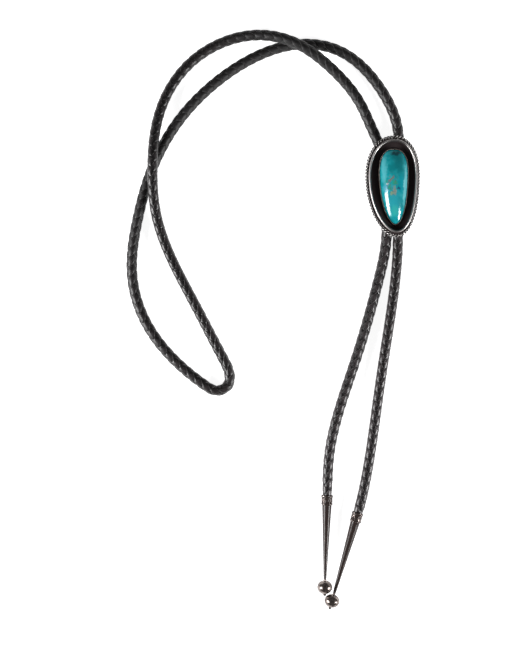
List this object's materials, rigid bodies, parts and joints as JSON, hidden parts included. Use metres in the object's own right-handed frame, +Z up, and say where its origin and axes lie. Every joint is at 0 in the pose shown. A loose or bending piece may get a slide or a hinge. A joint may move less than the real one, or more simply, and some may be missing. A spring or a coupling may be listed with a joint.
{
  "type": "bolo tie",
  "caption": "Bolo tie lying flat: braided black leather cord with silver cone-and-ball tips, run through an oval silver slide holding a tall turquoise cabochon in a deep dark recess",
  "frame": {"origin": "the middle of the flat underside of the slide's clasp, on the surface that the bolo tie lies on", "axes": "+Z up out of that surface, through the stone; the tips lie towards -Y and the neck loop towards -X and +Y"},
  "size_m": [0.1485, 0.2945, 0.0144],
  "materials": {
    "black_leather": "near-black braided leather laces with a soft grey sheen on each lace",
    "oxidised_silver": "polished old silver, blackened in the recess and between the twists of the border wire",
    "tip_silver": "polished tarnished silver, dark in the stamped collar",
    "clasp_metal": "plain satin white metal",
    "turquoise": "polished stone, deep teal to blue-green with a brown and green patch of matrix"
  },
  "bodies": {
    "root": {"braided_cord": "black_leather", "cord_clasp": "clasp_metal", "left_tip": "tip_silver", "right_tip": "tip_silver", "shadow_box_setting": "oxidised_silver", "turquoise_cabochon": "turquoise"}
  },
  "joints": []
}
